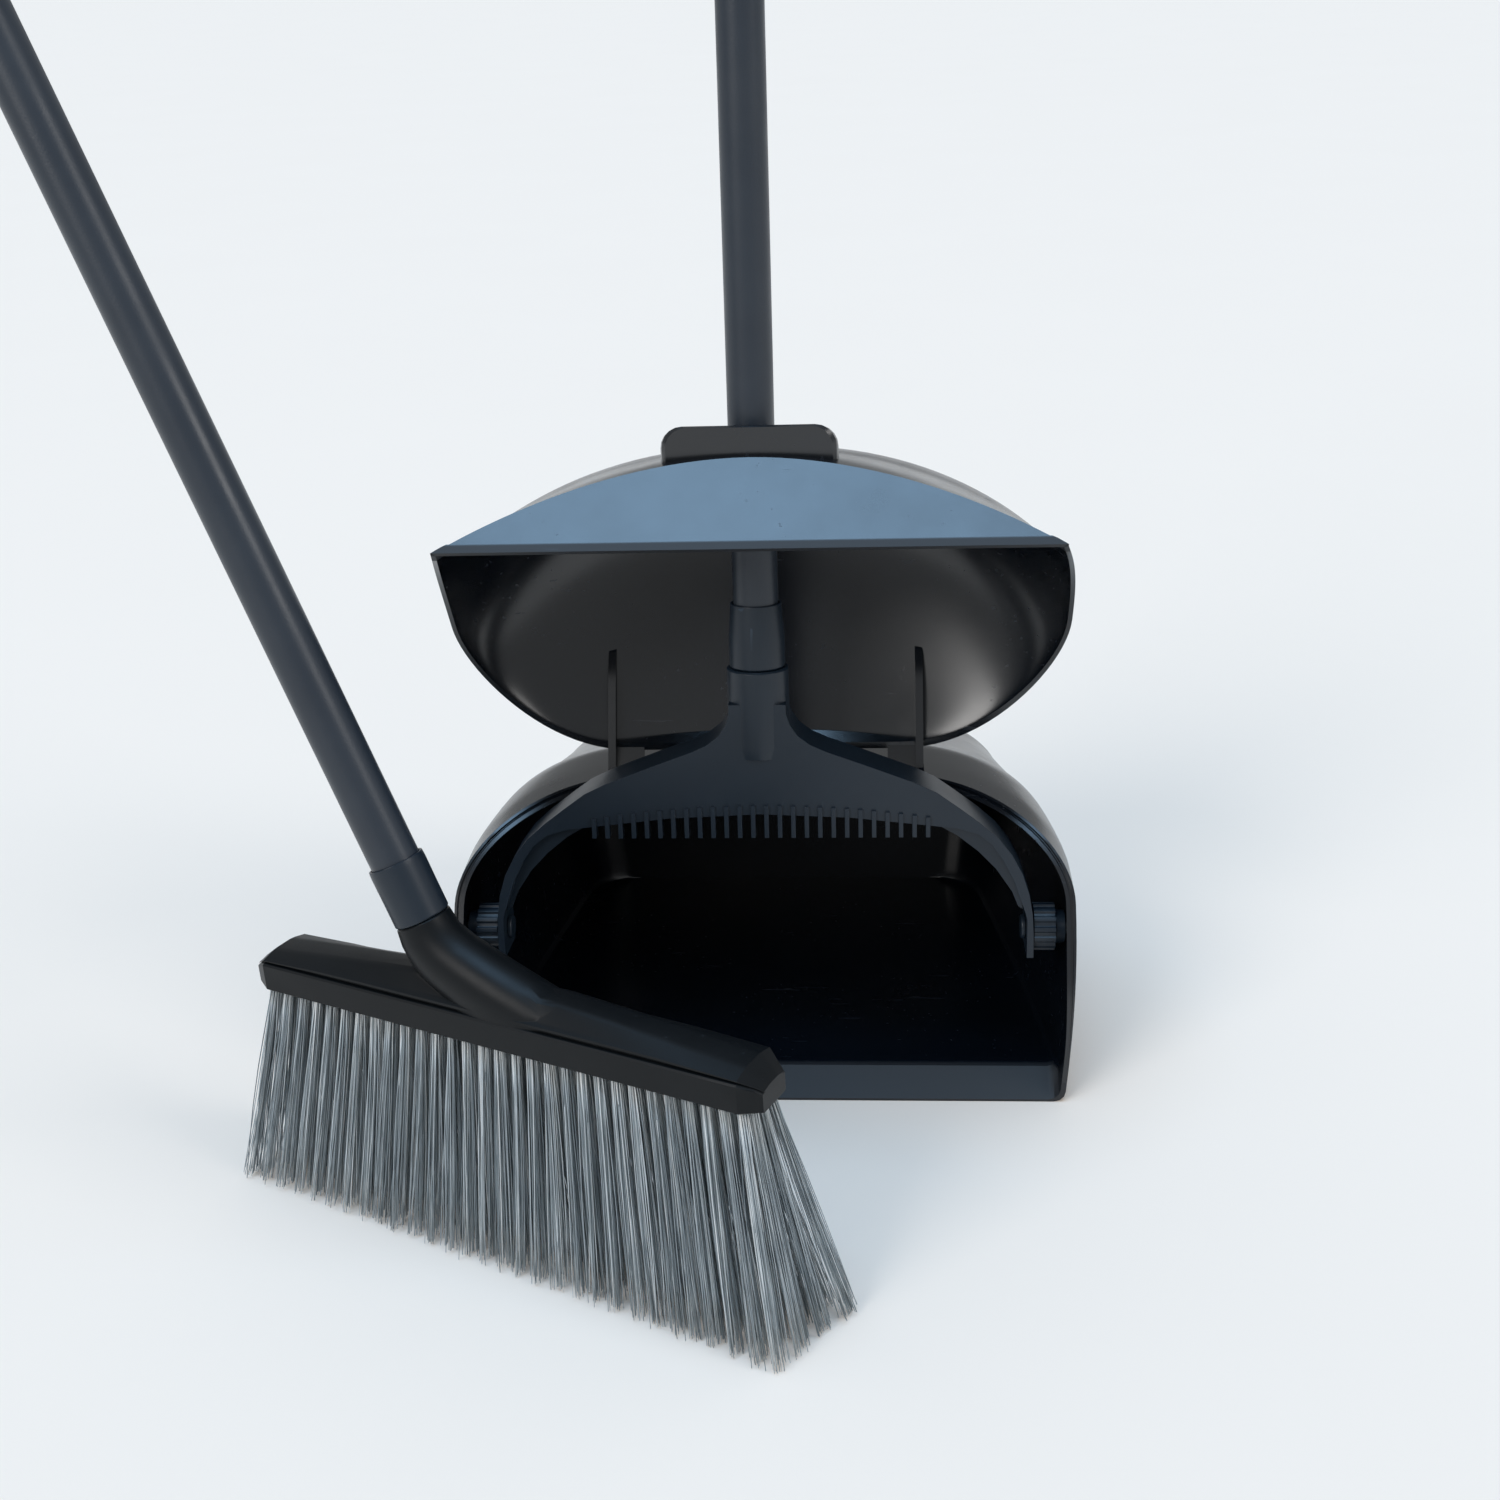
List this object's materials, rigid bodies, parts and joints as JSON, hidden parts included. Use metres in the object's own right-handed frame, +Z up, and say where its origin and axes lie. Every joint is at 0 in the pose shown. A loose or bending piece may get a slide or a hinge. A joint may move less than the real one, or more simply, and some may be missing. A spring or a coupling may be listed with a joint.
{
  "type": "lidded dust pan and broom set",
  "caption": "Upright dust pan with a self-closing lid on a tilting yoke handle, and an angle broom with ribbed bristle rows standing in front of it.",
  "frame": {"origin": "on the floor under the pan, on the pan's middle plane, at the middle of the flat of its base", "axes": "+Z up along the sticks, -Y out of the pan's mouth, X across the pan along the pivot and hinge axes"},
  "size_m": [0.6315, 0.4323, 0.9276],
  "materials": {
    "pan_plastic": "smooth moulded black plastic, glossy",
    "yoke_plastic": "satin moulded black plastic",
    "tube_paint": "satin black coated steel tube",
    "head_plastic": "satin moulded black plastic",
    "grip_rubber": "soft matt black sleeve",
    "pin_steel": "plain steel pin",
    "bristle": "blue-grey synthetic bristles, mixed light and dark"
  },
  "bodies": {
    "handle": {"yoke": "yoke_plastic", "pan_ferrule": "yoke_plastic", "pan_tube": "tube_paint", "pan_grip": "grip_rubber", "pan_hang_cap": "yoke_plastic"},
    "pan": {"pan_shell": "pan_plastic", "pivot_drum_left": "yoke_plastic", "pivot_drum_right": "yoke_plastic", "pivot_washer_left": "yoke_plastic", "pivot_washer_right": "yoke_plastic", "pivot_pin_left": "yoke_plastic", "pivot_pin_right": "yoke_plastic", "lid_pin_left": "pin_steel", "lid_pin_right": "pin_steel"},
    "lid": {"lid_shell": "pan_plastic"},
    "broom": {"broom_head": "head_plastic", "bristle_row_1": "bristle", "bristle_row_2": "bristle", "bristle_row_3": "bristle", "bristle_row_4": "bristle", "broom_ferrule": "yoke_plastic", "broom_tube": "tube_paint", "broom_grip": "grip_rubber", "broom_hang_cap": "yoke_plastic"}
  },
  "joints": [
    {"name": "pan_tip", "type": "hinge", "parent": "handle", "child": "pan", "pos_m": [0, -0.0745, 0.079], "axis": [-1, 0, 0], "range_deg": [0, 95]},
    {"name": "lid_close", "type": "hinge", "parent": "pan", "child": "lid", "pos_m": [0, -0.029, 0.143], "axis": [1, 0, 0], "range_deg": [0, 121]},
    {"name": "broom_lift", "type": "slide", "parent": "handle", "child": "broom", "axis": [0, 0, 1], "range_m": [0, 0.3]}
  ],
  "couplings": [
    {"joint": "lid_close", "follows": "pan_tip", "ratio": 1.27}
  ]
}
